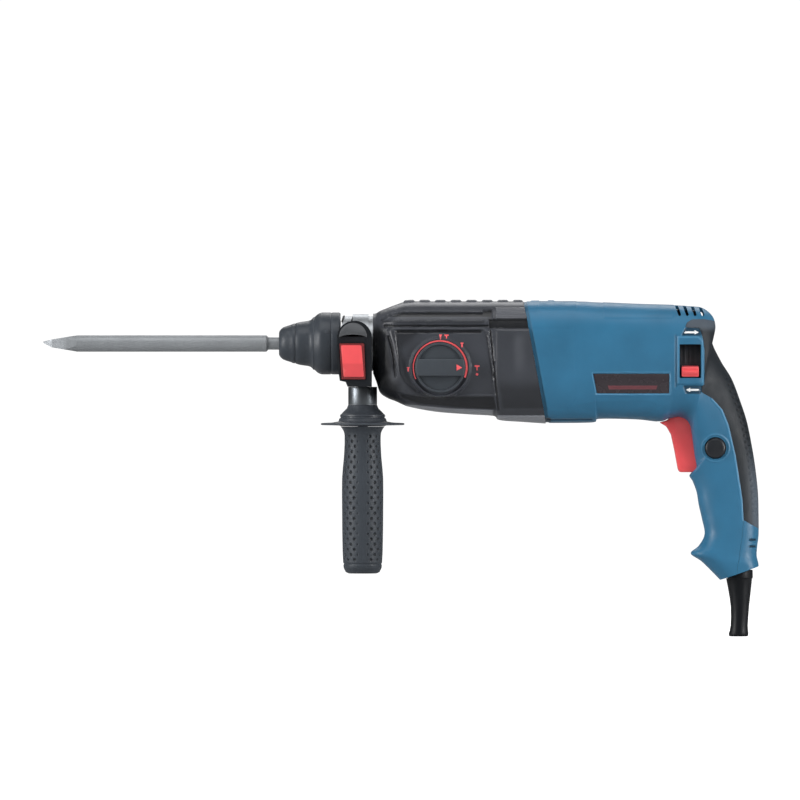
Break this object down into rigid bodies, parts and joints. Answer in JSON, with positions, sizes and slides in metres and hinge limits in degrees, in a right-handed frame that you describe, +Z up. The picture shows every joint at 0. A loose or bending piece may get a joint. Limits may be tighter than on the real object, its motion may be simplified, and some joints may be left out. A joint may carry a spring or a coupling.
{
  "type": "rotary demolition hammer",
  "caption": "Corded pistol-grip rotary hammer with a pointed chisel, mode knob, swivelling side handle and depth-stop button.",
  "frame": {"origin": "on the spindle axis at the front face of the dust cap, where the tool shank enters", "axes": "+X from the nose to the rear handle along the spindle, +Y to the tool's right-hand side, +Z up"},
  "size_m": [0.5629, 0.0829, 0.2649],
  "materials": {
    "gear_housing_black": "satin, lightly textured moulded black",
    "collar_metal": "turned",
    "inner_metal": "die cast",
    "housing_blue": "satin moulded blue",
    "soft_grip": "matt, fine dotted",
    "name_plate": "blank printed foil",
    "rating_plate": "blank silver foil",
    "lamination_steel": "stacked sheet",
    "copper_winding": "varnished copper",
    "inner_plastic": "black nylon",
    "gear_steel": "ground, oiled",
    "seal_rubber": "matt",
    "capacitor_plastic": "potted case",
    "boot_rubber": "satin black",
    "screw_steel": "zinc plated",
    "chisel_steel": "sand blasted forged steel",
    "chuck_black": "satin black",
    "spring_steel": "oiled",
    "knob_black": "satin dark grey",
    "control_red": "satin red",
    "brush_carbon": "graphite",
    "button_black": "satin black",
    "clamp_black": "satin black",
    "stem_metal": "dark blackened",
    "strap_steel": "rolled strip",
    "side_grip_rubber": "diamond dimpled",
    "side_guard_plastic": "satin dark grey"
  },
  "bodies": {
    "housing": {"gear_housing": "gear_housing_black", "front_collar": "collar_metal", "bearing_bracket": "inner_metal", "bearing_flange": "inner_metal", "motor_housing": "housing_blue", "handle_cover": "housing_blue", "rear_grip": "soft_grip", "name_plate": "name_plate", "rating_plate": "rating_plate", "stator_core": "lamination_steel", "field_coils": "copper_winding", "air_baffle": "inner_plastic", "rear_bearing_bridge": "inner_plastic", "armature_bearings": "gear_steel", "layshaft_bearings": "gear_steel", "spindle_bearings": "gear_steel", "spindle_seal": "seal_rubber", "switch_body": "inner_plastic", "capacitor": "capacitor_plastic", "trigger_pin": "gear_steel", "cord_boot": "boot_rubber", "cord_clamp": "inner_plastic", "housing_screws": "screw_steel", "handle_screws": "screw_steel"},
    "spindle_group": {"spindle": "gear_steel", "locking_balls": "gear_steel", "spring_seat": "gear_steel", "dust_cap": "chuck_black", "chuck_spring": "spring_steel"},
    "chisel": {"chisel": "chisel_steel"},
    "locking_sleeve": {"locking_sleeve": "chuck_black", "locking_ring": "gear_steel"},
    "impact_bolt": {"impact_bolt": "gear_steel"},
    "ram": {"ram": "gear_steel"},
    "piston": {"piston": "inner_metal", "piston_rings": "seal_rubber"},
    "piston_trunnion": {"piston_trunnion": "gear_steel"},
    "wobble_ring": {"wobble_ring": "gear_steel", "wobble_balls": "gear_steel"},
    "layshaft": {"layshaft": "gear_steel"},
    "spindle_gear": {"spindle_gear": "gear_steel"},
    "clutch_sleeve": {"clutch_sleeve": "gear_steel"},
    "shift_fork": {"shift_fork": "spring_steel"},
    "selector_knob": {"selector_knob": "knob_black"},
    "armature": {"armature": "gear_steel", "armature_core": "lamination_steel", "armature_windings": "copper_winding", "commutator": "copper_winding", "fan": "inner_plastic"},
    "brush_ring": {"brush_ring": "inner_plastic", "direction_knob": "control_red", "carbon_brushes": "brush_carbon"},
    "trigger": {"trigger": "control_red"},
    "lock_button": {"lock_button": "button_black"},
    "handle_clamp": {"clamp_base": "clamp_black", "handle_stem": "stem_metal"},
    "clamp_strap": {"clamp_strap": "strap_steel"},
    "depth_button": {"depth_button": "control_red"},
    "side_grip": {"side_grip": "side_grip_rubber", "side_guard": "side_guard_plastic"}
  },
  "joints": [
    {"name": "armature_spin", "type": "hinge", "parent": "housing", "child": "armature", "pos_m": [0.245, 0, -0.013], "axis": [1, 0, 0], "continuous": true},
    {"name": "layshaft_spin", "type": "hinge", "parent": "housing", "child": "layshaft", "pos_m": [0.16, 0, -0.033], "axis": [1, 0, 0], "continuous": true},
    {"name": "spindle_gear_spin", "type": "hinge", "parent": "housing", "child": "spindle_gear", "pos_m": [0.133, 0, 0], "axis": [1, 0, 0], "continuous": true},
    {"name": "spindle_spin", "type": "hinge", "parent": "housing", "child": "spindle_group", "pos_m": [0.06, 0, 0], "axis": [1, 0, 0], "continuous": true},
    {"name": "chisel_slide", "type": "slide", "parent": "spindle_group", "child": "chisel", "axis": [-1, 0, 0], "range_m": [0, 0.008]},
    {"name": "impact_bolt_slide", "type": "slide", "parent": "spindle_group", "child": "impact_bolt", "axis": [-1, 0, 0], "range_m": [0, 0.008]},
    {"name": "ram_slide", "type": "slide", "parent": "spindle_group", "child": "ram", "axis": [-1, 0, 0], "range_m": [-0.003, 0.0075]},
    {"name": "wobble_rock", "type": "hinge", "parent": "housing", "child": "wobble_ring", "pos_m": [0.16, 0, -0.033], "axis": [0, 1, 0], "range_deg": [-11, 11]},
    {"name": "piston_slide", "type": "slide", "parent": "housing", "child": "piston", "axis": [1, 0, 0], "range_m": [-0.0066, 0.0066]},
    {"name": "trunnion_rock", "type": "hinge", "parent": "piston", "child": "piston_trunnion", "pos_m": [0.16, 0, 0], "axis": [0, 1, 0], "range_deg": [-12, 12]},
    {"name": "sleeve_slide", "type": "slide", "parent": "spindle_group", "child": "locking_sleeve", "axis": [1, 0, 0], "range_m": [0, 0.006], "stiffness_N_per_m": 2500, "springref_m": -0.004, "deforming": ["chuck_spring"]},
    {"name": "selector_turn", "type": "hinge", "parent": "housing", "child": "selector_knob", "pos_m": [0.1267, 0, -0.0191], "axis": [0, -1, 0], "range_deg": [0, 184]},
    {"name": "fork_slide", "type": "slide", "parent": "housing", "child": "shift_fork", "axis": [1, 0, 0], "range_m": [0, 0.008]},
    {"name": "clutch_slide", "type": "slide", "parent": "spindle_group", "child": "clutch_sleeve", "axis": [1, 0, 0], "range_m": [0, 0.0085]},
    {"name": "direction_turn", "type": "hinge", "parent": "housing", "child": "brush_ring", "pos_m": [0.3, 0, -0.013], "axis": [-1, 0, 0], "range_deg": [0, 28]},
    {"name": "trigger_pull", "type": "hinge", "parent": "housing", "child": "trigger", "pos_m": [0.313, 0, -0.053], "axis": [0, -1, 0], "range_deg": [0, 7], "stiffness_Nm_per_rad": 6, "springref_deg": -5.73},
    {"name": "lock_press", "type": "slide", "parent": "housing", "child": "lock_button", "axis": [0, 1, 0], "range_m": [0, 0.003], "stiffness_N_per_m": 1500, "springref_m": -0.002},
    {"name": "handle_swivel", "type": "hinge", "parent": "housing", "child": "handle_clamp", "pos_m": [0.064, 0, 0], "axis": [1, 0, 0], "continuous": true},
    {"name": "depth_button_press", "type": "slide", "parent": "handle_clamp", "child": "depth_button", "axis": [0, 1, 0], "range_m": [0, 0.0022], "stiffness_N_per_m": 2000, "springref_m": -0.002},
    {"name": "grip_twist", "type": "hinge", "parent": "handle_clamp", "child": "side_grip", "pos_m": [0.0658, 0, -0.12], "axis": [0, 0, 1], "range_deg": [0, 540]},
    {"name": "strap_draw", "type": "slide", "parent": "handle_clamp", "child": "clamp_strap", "axis": [0, 0, 1], "range_m": [0, 0.00188]}
  ],
  "couplings": [
    {"joint": "layshaft_spin", "follows": "armature_spin", "ratio": -0.25},
    {"joint": "spindle_gear_spin", "follows": "armature_spin", "ratio": 0.061321},
    {"joint": "impact_bolt_slide", "follows": "chisel_slide", "ratio": 1},
    {"joint": "piston_slide", "follows": "wobble_rock", "m_per_rad": 0.0333},
    {"joint": "trunnion_rock", "follows": "wobble_rock", "ratio": 1},
    {"joint": "selector_turn", "follows": "fork_slide", "rad_per_m": 392.7},
    {"joint": "clutch_slide", "follows": "fork_slide", "ratio": 1},
    {"joint": "strap_draw", "follows": "grip_twist", "m_per_rad": 0.00019894}
  ]
}
